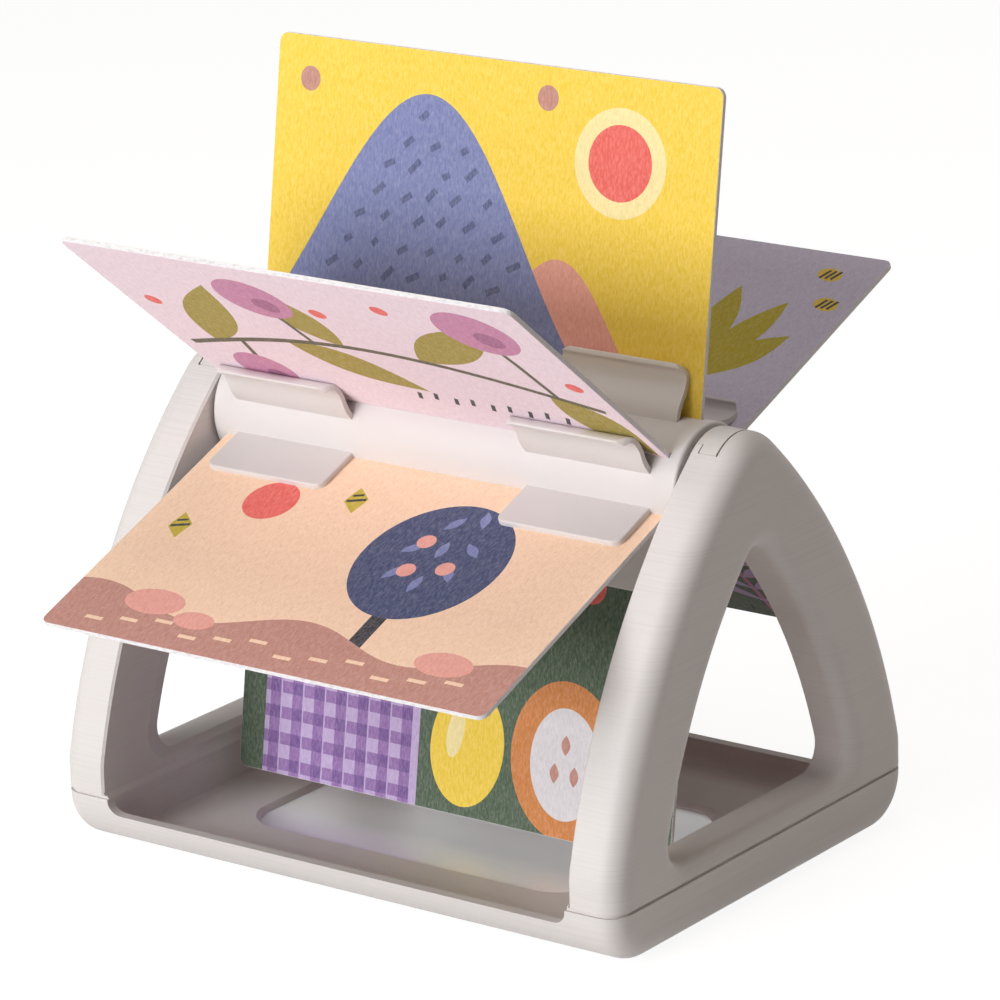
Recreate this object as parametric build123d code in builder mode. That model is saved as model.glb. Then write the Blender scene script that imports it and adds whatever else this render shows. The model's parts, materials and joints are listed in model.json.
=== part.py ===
"""Rotating picture-card book: six stiff cards on a drum that turns in a moulded stand.

Frame: origin on the table under the middle of the stand, +X along the drum's axis,
-Y towards the reader, +Z up. Millimetres.
"""
import os
from math import sqrt

from build123d import *

# Cards
card_count = 6
card_width = 180.0
card_thickness = 1.5
card_reach = 126.6  # drum axis to a card's outer edge
card_corner = 3.3
card_root_corner = 2.0
card_rest_angle = 81.0  # first card at rest, turned from +Y towards +Z
card_side_gap = 6.0  # a card's side to the frame beside it
card_floor_gap = 5.8  # a card's outer edge to the tray's floor as it passes

# Drum
drum_radius = 20.2
drum_bore_radius = 8.0
slot_depth = 8.5
slot_clearance = 0.15  # each side of a card, and under its inner edge
card_end_play = 0.3  # between a card's side and the drum's end
drum_end_thickness = 4.4
drum_end_round = 1.0
spigot_length = 14.0
spigot_clearance = 0.1
collar_radius = 12.0
collar_gap = 0.3  # collar face to frame
journal_radius = 8.0
journal_clearance = 0.05  # running fit, radial
journal_end_gap = 0.5

# Card clips on the drum
clip_width = 49.0
clip_edge_margin = 5.3  # a card's side to the nearer clip
clip_thickness = 1.9
clip_root_sink = 1.8  # how deep a clip's root runs into the drum wall
clip_play = 0.15  # clip to card face where it holds
clip_edge_round = 0.6
flat_length = 19.0  # flat clip: from the drum's surface to its free end
flat_corner = 3.5
spring_length = 17.4  # springy clip: the same
spring_corner = 5.0
spring_root_gap = 4.3  # springy clip: card face to clip at the drum
spring_lip_length = 4.4  # springy clip: from where it touches the card to its free end
spring_flare = 3.9  # springy clip: how far its free end turns away from the card

# Stand
stand_depth = 170.2
seam_height = 20.0  # top of the base, where the side frames stand
edge_round = 8.0  # soft outer edge of the stand's two ends
frame_thickness = 18.7
frame_inner_bevel = 0.8
foot_slope_height = 2.2  # slope at a frame's inner foot, out to the tray's end wall
shoulder_rise = 9.0  # seam to the middle of the shoulder's round
shoulder_radius = 20.0
side_radius = 231.5  # long bowed side of the A shape
apex_radius = 19.1
leg_width = 30.3
sill_rise = 6.2  # seam to the window's sill
window_apex_round = 8.0
window_corner_round = 9.0
window_outer_round = 6.0
window_flare_width = 8.0  # soft inner edge of a window, across the legs
window_flare_sill = 2.0  # the same along the sill
window_flare_depth = 3.0
seam_groove_height = 1.2
seam_groove_depth = 1.0

# Axle caps
cap_width = 25.0
cap_rim = 0.2  # end of the cap's pocket to the frame's outer round
cap_side_gap = 0.4
cap_end_gap = 0.7
cap_step_width = 3.0  # the cap is this much narrower each side along the frame's inner face
cap_step_depth = 3.0

# Base tray
sole_height = 1.5  # table to the tray's underside
rim_height = 0.5  # straight band between the seam and the base's round
tray_wall = 3.0
tray_ledge = 1.5  # how far the base's end wall stands in from the frame
floor_over_mirror = 2.0
floor_side_round = 1.0
lip_drop = 5.2  # seam to the lip's top
lip_corner = 5.0

# Mirror in the tray's floor
mirror_end_margin = 22.5  # tray's end wall to the mirror
mirror_side_margin = 36.1  # stand's front and back to the mirror
mirror_thickness = 2.0
mirror_corner = 18.0
mirror_clearance = 0.2
mirror_rim = 3.5  # how far the floor overlaps the mirror's edge
mirror_rim_bevel = 1.6

# Bottom cover
cover_end_margin = 7.7  # stand's end to the cover
cover_side_margin = 21.1  # stand's front and back to the cover
cover_thickness = 2.0
cover_corner = 5.0
cover_clearance = 0.3
end_pocket_length = 60.0
end_pocket_width = 8.0
end_pocket_roof = 3.0

# Screws
screw_inset = 6.0  # frame's inner face to the screws' line
frame_screw_margin = 4.0  # cover's edge to the frame screws' line
frame_screw_radius = 1.7
frame_screw_head_radius = 3.2
frame_screw_head_height = 2.0
frame_screw_bite = 11.0
frame_screw_seat = 6.0  # base material under the frame that the screw clamps
well_clearance = 0.8
cover_screw_margin = 11.0  # end pocket to the cover screws
cover_screw_radius = 1.3
cover_screw_head_radius = 2.6
cover_screw_head_height = 1.3
cover_screw_bite = 8.0
screw_clearance = 0.05
screw_tip_gap = 0.3

# Places worked out from the sizes above
frame_inner = card_width / 2 + card_side_gap
half_length = frame_inner + frame_thickness
half_depth = stand_depth / 2
stand_length = 2 * half_length
cover_top = cover_thickness
mirror_top = cover_top + mirror_thickness
floor_height = mirror_top + floor_over_mirror
axis_height = floor_height + card_floor_gap + card_reach
apex_height = axis_height + apex_radius
shoulder_height = seam_height + shoulder_rise
window_sill = seam_height + sill_rise
lower_round = seam_height - sole_height - rim_height
lip_height = seam_height - lip_drop
tray_half_length = frame_inner - tray_ledge
mirror_length = 2 * (tray_half_length - mirror_end_margin)
mirror_depth = stand_depth - 2 * mirror_side_margin
cover_length = stand_length - 2 * cover_end_margin
cover_depth = stand_depth - 2 * cover_side_margin
card_inner = drum_radius - slot_depth
flat_reach = drum_radius + flat_length
spring_reach = drum_radius + spring_length
clip_middle = card_width / 2 - clip_edge_margin - clip_width / 2
spring_hold_reach = spring_reach - spring_lip_length
drum_half_length = card_width / 2 + card_end_play
drum_end_face = drum_half_length + drum_end_thickness
collar_face = frame_inner - collar_gap
pocket_width = cap_width + 2 * cap_side_gap
cap_depth = frame_thickness - edge_round - cap_rim
journal_tip = frame_inner + cap_depth - journal_end_gap
bearing_radius = journal_radius + journal_clearance
screw_x = frame_inner + screw_inset
frame_screw_y = cover_depth / 2 - frame_screw_margin
cover_screw_y = end_pocket_length / 2 + cover_screw_margin
drum_plane = Plane(origin=(0, 0, axis_height), x_dir=(0, 1, 0), z_dir=(1, 0, 0))


def side_arc_centre():
    """Centre of the bowed side that runs smoothly from the shoulder into the apex."""
    shoulder = Vector(half_depth - shoulder_radius, shoulder_height)
    apex = Vector(0, axis_height)
    from_shoulder = side_radius - shoulder_radius
    from_apex = side_radius - apex_radius
    along = (apex - shoulder).normalized()
    gap = (apex - shoulder).length
    reach = (from_shoulder**2 - from_apex**2 + gap**2) / (2 * gap)
    off = sqrt(from_shoulder**2 - reach**2)
    return shoulder + along * reach + Vector(-along.Y, along.X) * off


def arc_about(centre, start, end):
    """Arc between two points that lie at one distance from a centre."""
    middle = ((start - centre) + (end - centre)).normalized() * (start - centre).length
    ThreePointArc(start, centre + middle, end)


def frame_outline():
    """Half outline of a side frame, from the seam up to the top of the apex."""
    side = side_arc_centre()
    shoulder = Vector(half_depth - shoulder_radius, shoulder_height)
    apex = Vector(0, axis_height)
    foot = Vector(half_depth, seam_height)
    shoulder_start = Vector(half_depth, shoulder_height)
    side_start = side + (shoulder - side).normalized() * side_radius
    side_end = side + (apex - side).normalized() * side_radius
    top = Vector(0, apex_height)
    Line((0, seam_height), foot)
    Line(foot, shoulder_start)
    arc_about(shoulder, shoulder_start, side_start)
    arc_about(side, side_start, side_end)
    arc_about(apex, side_end, top)


def window_outline(grow, sill):
    """Half outline of a frame's window, its side one leg's width inside the frame's."""
    side = side_arc_centre()
    radius = side_radius - leg_width + grow
    corner = Vector(side.X + sqrt(radius**2 - (sill - side.Y) ** 2), sill)
    top = Vector(0, side.Y + sqrt(radius**2 - side.X**2))
    Line((0, sill), corner)
    arc_about(side, corner, top)


with BuildPart() as side_frame_right:
    with BuildSketch(Plane.YZ.offset(frame_inner)):
        with BuildLine():
            frame_outline()
            mirror(about=Plane.YZ)
        make_face()
    extrude(amount=frame_thickness)
    outer_rim = side_frame_right.faces().sort_by(Axis.X)[-1].edges()
    fillet(outer_rim.filter_by(lambda e: e.center().Z > seam_height + frame_inner_bevel), edge_round)
    inner_rim = side_frame_right.faces().sort_by(Axis.X)[0].edges()
    chamfer(
        inner_rim.filter_by(lambda e: e.center().Z > seam_height + frame_inner_bevel),
        frame_inner_bevel,
    )
    # Open pocket for the drum's journal, closed from above by the stepped axle cap
    with BuildSketch(Plane.YZ.offset(frame_inner)):
        with Locations((0, axis_height + apex_radius)):
            Rectangle(pocket_width - 2 * cap_step_width, 2 * apex_radius)
        with Locations((0, axis_height)):
            Circle(bearing_radius)
    extrude(amount=cap_depth, mode=Mode.SUBTRACT)
    with BuildSketch(Plane.YZ.offset(frame_inner + cap_step_depth)):
        with Locations((0, axis_height + apex_radius)):
            Rectangle(pocket_width, 2 * apex_radius)
    extrude(amount=cap_depth - cap_step_depth, mode=Mode.SUBTRACT)
    with BuildSketch(Plane.YZ.offset(frame_inner)) as window:
        with BuildLine():
            window_outline(0, window_sill)
            mirror(about=Plane.YZ)
        make_face()
        fillet(window.vertices().group_by(Axis.Y)[-1], window_apex_round)
        fillet(window.vertices().group_by(Axis.Y)[0], window_corner_round)
    extrude(amount=frame_thickness, mode=Mode.SUBTRACT)
    window_rim = side_frame_right.faces().sort_by(Axis.X)[-1].inner_wires()[0].edges()
    fillet(window_rim, window_outer_round)
    with BuildSketch(Plane.YZ.offset(frame_inner)) as flare_mouth:
        with BuildLine():
            window_outline(window_flare_width, window_sill - window_flare_sill)
            mirror(about=Plane.YZ)
        make_face()
        fillet(flare_mouth.vertices().group_by(Axis.Y)[-1], window_apex_round + window_flare_width)
        fillet(flare_mouth.vertices().group_by(Axis.Y)[0], window_corner_round + window_flare_sill)
    with BuildSketch(Plane.YZ.offset(frame_inner + window_flare_depth)) as flare_neck:
        with BuildLine():
            window_outline(0, window_sill)
            mirror(about=Plane.YZ)
        make_face()
        fillet(flare_neck.vertices().group_by(Axis.Y)[-1], window_apex_round)
        fillet(flare_neck.vertices().group_by(Axis.Y)[0], window_corner_round)
    loft(mode=Mode.SUBTRACT)
    with BuildSketch(Plane.XZ):
        with BuildLine():
            Polyline(
                (frame_inner, seam_height + foot_slope_height),
                (tray_half_length, seam_height),
                (frame_inner, seam_height),
                close=True,
            )
        make_face()
    extrude(amount=half_depth, both=True)
    # Shadow groove along the seam, on the three outer sides
    with BuildSketch(Plane.XY.offset(seam_height)) as groove:
        with Locations((half_length + seam_groove_depth, 0)):
            Rectangle(
                frame_thickness + tray_ledge + 2 * seam_groove_depth,
                stand_depth + 2 * seam_groove_depth,
                align=(Align.MAX, Align.CENTER),
            )
        with BuildSketch(Plane.XY.offset(seam_height), mode=Mode.SUBTRACT) as tongue:
            with Locations((half_length - seam_groove_depth, 0)):
                Rectangle(
                    frame_thickness + tray_ledge,
                    stand_depth - 2 * seam_groove_depth,
                    align=(Align.MAX, Align.CENTER),
                )
            fillet(tongue.vertices().group_by(Axis.X)[-1], edge_round - seam_groove_depth)
    extrude(amount=seam_groove_height, mode=Mode.SUBTRACT)
    with Locations(Plane.XY.offset(seam_height)):
        with Locations((screw_x, -frame_screw_y), (screw_x, frame_screw_y)):
            Cylinder(
                frame_screw_radius + screw_clearance,
                frame_screw_bite + screw_tip_gap,
                align=(Align.CENTER, Align.CENTER, Align.MIN),
                mode=Mode.SUBTRACT,
            )
side_frame_right.part.label = "side_frame_right"

with BuildPart() as side_frame_left:
    mirror(side_frame_right.part, about=Plane.YZ)
side_frame_left.part.label = "side_frame_left"

with BuildPart() as axle_cap_right:
    with BuildSketch(Plane.YZ.offset(frame_inner)):
        with Locations((0, axis_height)):
            Circle(apex_radius)
        with Locations((0, axis_height + apex_radius)):
            Rectangle(cap_width, 2 * apex_radius, mode=Mode.INTERSECT)
        with Locations((0, axis_height)):
            Circle(bearing_radius, mode=Mode.SUBTRACT)
    extrude(amount=cap_depth - cap_end_gap)
    with Locations((frame_inner, 0, axis_height)):
        with GridLocations(0, cap_width, 1, 2):
            Box(
                2 * (cap_step_depth + cap_side_gap),
                2 * cap_step_width,
                2 * apex_radius,
                align=(Align.CENTER, Align.CENTER, Align.MIN),
                mode=Mode.SUBTRACT,
            )
    chamfer(axle_cap_right.edges().group_by(Axis.X)[0].sort_by(Axis.Z)[-1], frame_inner_bevel)
axle_cap_right.part.label = "axle_cap_right"

with BuildPart() as axle_cap_left:
    mirror(axle_cap_right.part, about=Plane.YZ)
axle_cap_left.part.label = "axle_cap_left"

with BuildPart() as base_tray:
    with BuildSketch(Plane.YZ) as base_section:
        with Locations((0, (sole_height + seam_height) / 2)):
            Rectangle(stand_depth, seam_height - sole_height)
        fillet(base_section.vertices().group_by(Axis.Y)[0], lower_round)
    extrude(amount=half_length, both=True)
    end_rims = base_tray.faces().filter_by(Axis.X).edges()
    fillet(end_rims.filter_by(lambda e: e.center().Z < seam_height - screw_clearance), edge_round)
    # Scooped inside
    with BuildSketch(Plane.YZ) as scoop:
        with Locations((0, floor_height)):
            Rectangle(
                stand_depth - 2 * tray_wall,
                2 * seam_height,
                align=(Align.CENTER, Align.MIN),
            )
        fillet(scoop.vertices().group_by(Axis.Y)[0], lower_round - tray_wall)
    extrude(amount=tray_half_length, both=True, mode=Mode.SUBTRACT)
    floor_sides = base_tray.edges().filter_by(Axis.Y).filter_by_position(
        Axis.Z, floor_height - screw_clearance, floor_height + screw_clearance
    )
    fillet(floor_sides, floor_side_round)
    # Low lip in front and behind
    with BuildSketch(Plane.XZ) as lip:
        with Locations((0, lip_height)):
            Rectangle(2 * tray_half_length, seam_height, align=(Align.CENTER, Align.MIN))
        fillet(lip.vertices().group_by(Axis.Y)[0], lip_corner)
    extrude(amount=stand_depth, both=True, mode=Mode.SUBTRACT)
    # Window over the mirror, with the mirror's pocket under it
    with BuildSketch(Plane.XY):
        RectangleRounded(
            mirror_length - 2 * mirror_rim, mirror_depth - 2 * mirror_rim, mirror_corner - mirror_rim
        )
    extrude(amount=seam_height, mode=Mode.SUBTRACT)
    rim_edges = base_tray.faces().filter_by(Axis.Z).filter_by_position(
        Axis.Z, floor_height - screw_clearance, floor_height + screw_clearance
    )
    chamfer(rim_edges.sort_by(SortBy.AREA)[-1].inner_wires()[0].edges(), mirror_rim_bevel)
    with BuildSketch(Plane.XY):
        RectangleRounded(
            mirror_length + 2 * mirror_clearance, mirror_depth + 2 * mirror_clearance, mirror_corner
        )
    extrude(amount=mirror_top, mode=Mode.SUBTRACT)
    with BuildSketch(Plane.XY):
        RectangleRounded(
            cover_length + 2 * cover_clearance, cover_depth + 2 * cover_clearance, cover_corner
        )
    extrude(amount=cover_top, mode=Mode.SUBTRACT)
    # Hollow ends, and the screws' wells and holes
    with BuildSketch(Plane.XY):
        with Locations((-screw_x, 0), (screw_x, 0)):
            Rectangle(end_pocket_width, end_pocket_length)
    extrude(amount=seam_height - end_pocket_roof, mode=Mode.SUBTRACT)
    with GridLocations(2 * screw_x, 2 * frame_screw_y, 2, 2):
        Cylinder(
            frame_screw_head_radius + well_clearance,
            seam_height - frame_screw_seat,
            align=(Align.CENTER, Align.CENTER, Align.MIN),
            mode=Mode.SUBTRACT,
        )
        Cylinder(
            frame_screw_radius + screw_clearance,
            seam_height,
            align=(Align.CENTER, Align.CENTER, Align.MIN),
            mode=Mode.SUBTRACT,
        )
    with GridLocations(2 * screw_x, 2 * cover_screw_y, 2, 2):
        Cylinder(
            cover_screw_radius + screw_clearance,
            cover_top + cover_screw_bite + screw_tip_gap,
            align=(Align.CENTER, Align.CENTER, Align.MIN),
            mode=Mode.SUBTRACT,
        )
base_tray.part.label = "base_tray"

with BuildPart() as bottom_cover:
    with BuildSketch(Plane.XY):
        RectangleRounded(cover_length, cover_depth, cover_corner)
    extrude(amount=cover_thickness)
    with Locations(Plane.XY.rotated((180, 0, 0))):
        with GridLocations(2 * screw_x, 2 * cover_screw_y, 2, 2):
            CounterBoreHole(
                cover_screw_radius + screw_clearance,
                cover_screw_head_radius + screw_clearance,
                cover_screw_head_height,
            )
bottom_cover.part.label = "bottom_cover"

with BuildPart() as mirror_panel:
    with BuildSketch(Plane.XY.offset(cover_top)):
        RectangleRounded(mirror_length, mirror_depth, mirror_corner)
    extrude(amount=mirror_thickness)
mirror_panel.part.label = "mirror_panel"


def screw(shank_radius, head_radius, head_height, seat, tip):
    """Screw that points up: its head hangs under the seat, its shank ends at the tip."""
    with BuildPart() as body:
        with BuildSketch(Plane.XY.offset(seat - head_height)):
            Circle(head_radius)
        extrude(amount=head_height)
        with BuildSketch(Plane.XY.offset(seat)):
            Circle(shank_radius)
        extrude(amount=tip - seat)
        chamfer(body.edges().sort_by(Axis.Z)[-1], shank_radius / 2)
    return body.part


frame_screw = screw(
    frame_screw_radius,
    frame_screw_head_radius,
    frame_screw_head_height,
    seam_height - frame_screw_seat,
    seam_height + frame_screw_bite,
)
with BuildPart() as frame_screws:
    with GridLocations(2 * screw_x, 2 * frame_screw_y, 2, 2):
        add(frame_screw)
frame_screws.part.label = "frame_screws"

cover_screw = screw(
    cover_screw_radius,
    cover_screw_head_radius,
    cover_screw_head_height,
    cover_screw_head_height,
    cover_top + cover_screw_bite,
)
with BuildPart() as cover_screws:
    with GridLocations(2 * screw_x, 2 * cover_screw_y, 2, 2):
        add(cover_screw)
cover_screws.part.label = "cover_screws"

# One springy clip and one flat clip, for a card that lies along +Y
clip_root = drum_radius - clip_root_sink
card_face = card_thickness / 2
hold = card_face + clip_play
with BuildPart() as spring_clip:
    # S-shaped sheet: out along the drum's radius, down onto the card, then up to a curled lip
    with BuildSketch(Plane.YZ) as spring_profile:
        with BuildLine():
            root = Vector(clip_root, card_face + spring_root_gap)
            touch = Vector(spring_hold_reach, hold)
            bow = TangentArc(root, (root + touch) / 2, tangent=(1, 0))
            sag = TangentArc(bow @ 1, touch, tangent=bow % 1)
            TangentArc(sag @ 1, (spring_reach, hold + spring_flare), tangent=sag % 1)
            offset(amount=clip_thickness, side=Side.LEFT)
        make_face()
        fillet(spring_profile.vertices().sort_by(Axis.X)[-2:], clip_edge_round)
    extrude(amount=clip_width / 2, both=True)
    with BuildSketch(Plane.XY) as spring_plan:
        with Locations((0, spring_reach)):
            Rectangle(clip_width, spring_reach - clip_root, align=(Align.CENTER, Align.MAX))
        fillet(spring_plan.vertices().group_by(Axis.Y)[-1], spring_corner)
    extrude(amount=spring_reach, mode=Mode.INTERSECT)

with BuildPart() as flat_clip:
    with BuildSketch(Plane.XY.offset(-hold)) as flat_plan:
        with Locations((0, flat_reach)):
            Rectangle(clip_width, flat_reach - clip_root, align=(Align.CENTER, Align.MAX))
        fillet(flat_plan.vertices().group_by(Axis.Y)[-1], flat_corner)
    extrude(amount=-clip_thickness)
    lower_rim = flat_clip.faces().sort_by(Axis.Z)[0].edges()
    fillet(lower_rim.filter_by(lambda e: e.center().Y > clip_root + clip_edge_round), clip_edge_round)

card_pitch = 360 / card_count
with BuildPart() as drum:
    with BuildSketch(drum_plane):
        Circle(drum_radius)
        Circle(drum_bore_radius, mode=Mode.SUBTRACT)
        with PolarLocations(drum_radius, card_count, card_rest_angle):
            Rectangle(
                2 * (slot_depth + slot_clearance),
                card_thickness + 2 * slot_clearance,
                mode=Mode.SUBTRACT,
            )
    extrude(amount=drum_half_length, both=True)
    for index in range(card_count):
        turn = (card_rest_angle + index * card_pitch, 0, 0)
        for side in (-1, 1):
            with Locations(Location((side * clip_middle, 0, axis_height), turn)):
                add(spring_clip.part)
                add(flat_clip.part)
drum.part.label = "drum"

with BuildPart() as drum_end_right:
    with BuildSketch(drum_plane.offset(drum_half_length)):
        Circle(drum_radius)
    extrude(amount=drum_end_thickness)
    fillet(drum_end_right.edges().sort_by(Axis.X)[-1], drum_end_round)
    with BuildSketch(drum_plane.offset(drum_half_length)):
        Circle(drum_bore_radius - spigot_clearance)
    extrude(amount=-spigot_length)
    with BuildSketch(drum_plane.offset(drum_end_face)):
        Circle(collar_radius)
    extrude(amount=collar_face - drum_end_face)
    with BuildSketch(drum_plane.offset(collar_face)):
        Circle(journal_radius)
    extrude(amount=journal_tip - collar_face)
drum_end_right.part.label = "drum_end_right"

with BuildPart() as drum_end_left:
    mirror(drum_end_right.part, about=Plane.YZ)
drum_end_left.part.label = "drum_end_left"

pages = []
for index in range(card_count):
    tilt = Location((0, 0, axis_height), (card_rest_angle + index * card_pitch, 0, 0))
    with BuildPart() as page_card:
        with BuildSketch(Plane(tilt)) as card_outline:
            with Locations((0, card_inner)):
                Rectangle(card_width, card_reach - card_inner, align=(Align.CENTER, Align.MIN))
            fillet(card_outline.vertices().group_by(Axis.Y)[-1], card_corner)
            fillet(card_outline.vertices().group_by(Axis.Y)[0], card_root_corner)
        extrude(amount=card_thickness / 2, both=True)
    page_card.part.label = f"page_card_{index + 1}"
    pages.append(page_card)

os.makedirs("parts", exist_ok=True)
pieces = [
    side_frame_right,
    side_frame_left,
    axle_cap_right,
    axle_cap_left,
    base_tray,
    bottom_cover,
    mirror_panel,
    frame_screws,
    cover_screws,
    drum,
    drum_end_right,
    drum_end_left,
    *pages,
]
for piece in pieces:
    export_step(piece.part, f"parts/{piece.part.label}.step")
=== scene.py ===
"""Looks of the rotating card book: felt-faced cards, moulded stand, mirror tray and a studio stage."""
import json
import math
import random

import bmesh
import bpy
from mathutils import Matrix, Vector
from mathutils.geometry import delaunay_2d_cdt


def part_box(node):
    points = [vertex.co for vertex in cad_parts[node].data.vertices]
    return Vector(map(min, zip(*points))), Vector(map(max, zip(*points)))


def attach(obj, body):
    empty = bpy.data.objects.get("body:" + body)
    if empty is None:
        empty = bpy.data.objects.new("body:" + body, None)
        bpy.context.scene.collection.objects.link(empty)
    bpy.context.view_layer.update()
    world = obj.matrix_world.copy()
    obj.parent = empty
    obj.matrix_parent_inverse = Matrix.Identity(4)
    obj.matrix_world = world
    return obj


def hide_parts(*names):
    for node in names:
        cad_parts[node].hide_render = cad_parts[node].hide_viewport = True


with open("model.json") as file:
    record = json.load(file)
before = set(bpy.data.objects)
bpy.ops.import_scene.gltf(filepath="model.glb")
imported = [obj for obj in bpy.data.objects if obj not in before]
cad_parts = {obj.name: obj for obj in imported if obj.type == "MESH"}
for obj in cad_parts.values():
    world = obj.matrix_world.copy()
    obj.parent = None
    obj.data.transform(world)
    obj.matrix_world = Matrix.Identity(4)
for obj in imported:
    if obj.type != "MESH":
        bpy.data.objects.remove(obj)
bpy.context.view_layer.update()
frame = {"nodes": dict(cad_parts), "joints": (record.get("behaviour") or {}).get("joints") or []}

bl_info = {
    "name": "Rotating card book",
    "version": (1, 0, 0),
    "blender": (4, 5, 0),
    "location": "3D View > Sidebar > Card book",
    "description": "Dresses the packed card book: plastics, mirror, printed felt sheets, screws and stage",
    "category": "Object",
}

MM = 0.001
WHEEL = "page_wheel"
STAND = "stand"
SHELL_NODES = (
    "side_frame_right", "side_frame_left", "axle_cap_right", "axle_cap_left", "base_tray", "bottom_cover",
)
DRUM_NODES = ("drum", "drum_end_right", "drum_end_left")
CARD_SLOTS = ("card_yellow", "card_pink", "card_peach", "card_green", "card_blue", "card_lilac")

# Places of the cards: the drum's axis and a card's box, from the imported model, and that card's turn at rest
AXIS = Vector(frame["joints"][0]["pos_m"])
CARD_LOW, CARD_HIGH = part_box("page_card_1")
DRUM_LOW, DRUM_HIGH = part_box("drum_end_right")
DRUM_RADIUS = (DRUM_HIGH.z - DRUM_LOW.z) / 2
CARD_TURN = math.radians(81)
CARD_PITCH = 2 * math.pi / len(CARD_SLOTS)

# The card leans, so its box mixes reach and thickness; these lines part them again
UP, OUT = math.sin(CARD_TURN), math.cos(CARD_TURN)
CARD_TOP = CARD_HIGH.z - AXIS.z
CARD_REACH = (CARD_TOP * UP - CARD_HIGH.y * OUT) / (UP ** 2 - OUT ** 2)
CARD_THICKNESS = 2 * (CARD_HIGH.y * UP - CARD_TOP * OUT) / (UP ** 2 - OUT ** 2)

# Prints are drawn in millimetres, x from the sheet's middle and y from its foot, and run past its edges
PICTURE_HALF = (CARD_HIGH.x - CARD_LOW.x) / 2 / MM
PICTURE_HIGH = (CARD_REACH - DRUM_RADIUS) / MM
PRINT_FOOT = -12.0
PRINT_OVERLAP = 4.0

# Each lamp's place, its width and height, in metres, and its tint
LAMPS = {
    "key": ((-0.38, -2.12, 0.52), (1.1, 0.7), (0.97, 0.99, 1.0)),
    "side": ((-0.77, -1.65, 1.33), (0.9, 0.9), (1.0, 0.98, 0.96)),
    "top": ((0, -0.04, 2.3), (0.9, 0.9), (1.0, 0.98, 0.96)),
    "back": ((1.08, 1.29, 1.51), (0.9, 0.9), (1.0, 0.87, 0.74)),
}
LAMP_AIM = Vector((0, 0, 0.1))
ROOM_TINT = (1.0, 0.82, 0.70)
WHITE = (1.0, 1.0, 1.0)


def linear(code):
    """sRGB hex to the linear colour that a shader takes."""
    parts = [int(code[i:i + 2], 16) / 255 for i in (0, 2, 4)]
    return tuple(c / 12.92 if c <= 0.04045 else ((c + 0.055) / 1.055) ** 2.4 for c in parts)


def colour(name, code, words):
    """Colour property with a hex default."""
    return bpy.props.FloatVectorProperty(
        name=name, description=words, subtype="COLOR", size=3, min=0, max=1, default=linear(code)
    )


def length(name, millimetres, words):
    """Length property with its default in millimetres."""
    return bpy.props.FloatProperty(
        name=name, description=words, unit="LENGTH", min=0, precision=5, default=millimetres * MM
    )


def power(name, watts, words):
    """Power property of a lamp."""
    return bpy.props.FloatProperty(name=name, description=words, unit="POWER", min=0, default=watts)


def position(name, place, words):
    """Place property, in metres."""
    return bpy.props.FloatVectorProperty(
        name=name, description=words, subtype="XYZ", unit="LENGTH", default=place
    )


class StandLook(bpy.types.PropertyGroup):
    """Finish of the stand, the drum, the mirror and the screws."""

    shell: colour("Shell", "DCD6D4", "Warm off-white of the frames, tray and cover")
    shell_dark: colour("Shell, in the layers", "D7D1CF", "The same plastic where a layer line dips")
    drum: colour("Drum", "DAD4D3", "Off-white of the drum and its clips")
    drum_dark: colour("Drum, in the flow", "D6D0CF", "The same plastic along its faint flow marks")
    mirror: colour("Mirror", "FBFCFE", "Tint of the silvered sheet")
    zinc: colour("Zinc", "B9BBBE", "Plating of the screws")
    layer_line: length("Layer line", 0.45, "Height of one faint line, drawn coarse enough to show")
    grain: length("Grain", 0.5, "Size of the plastic's grain, drawn coarse enough to show")
    head_radius: length("Head radius", 2.6, "Radius of a cover screw's head")
    head_height: length("Head height", 1.3, "Height of a cover screw's head")
    shank_radius: length("Shank radius", 1.3, "Radius of a cover screw's shank")
    recess_length: length("Recess length", 3.2, "Length of a screw's cross recess")
    recess_width: length("Recess width", 0.7, "Width of a screw's cross recess")
    recess_depth: length("Recess depth", 0.9, "Depth of a screw's cross recess")


class CardLook(bpy.types.PropertyGroup):
    """Make-up of the cards: white board between two printed felt-look sheets."""

    sheet_thickness: length("Sheet thickness", 0.09, "How far a printed sheet stands on the board")
    sheet_bedding: length("Sheet bedding", 0.02, "How far a printed sheet's underside is sunk in the board")
    sheet_inset: length("Sheet inset", 0.12, "Printed sheet's edge to the board's edge")
    sheet_tuck: length("Sheet tuck", 2.0, "How far a printed sheet runs into the drum's slot")
    corner: length("Corner", 3.3, "Round at a card's two outer corners")
    wrinkle_width: length("Wrinkle width", 0.75, "Width of one embossed felt wrinkle")
    wrinkle_length: length("Wrinkle length", 2.4, "Length of one embossed felt wrinkle")
    wrinkle_depth: length("Wrinkle depth", 0.25, "Depth of the embossed wrinkles")
    fibre: length("Fibre", 0.45, "Size of the felt's fine fibres, drawn coarse enough to show")
    board: colour("Board", "F1EEF0", "White of the board's cut edge")
    board_dark: colour("Board, in its plies", "DAD5D7", "Grey of the board's plies")


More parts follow.
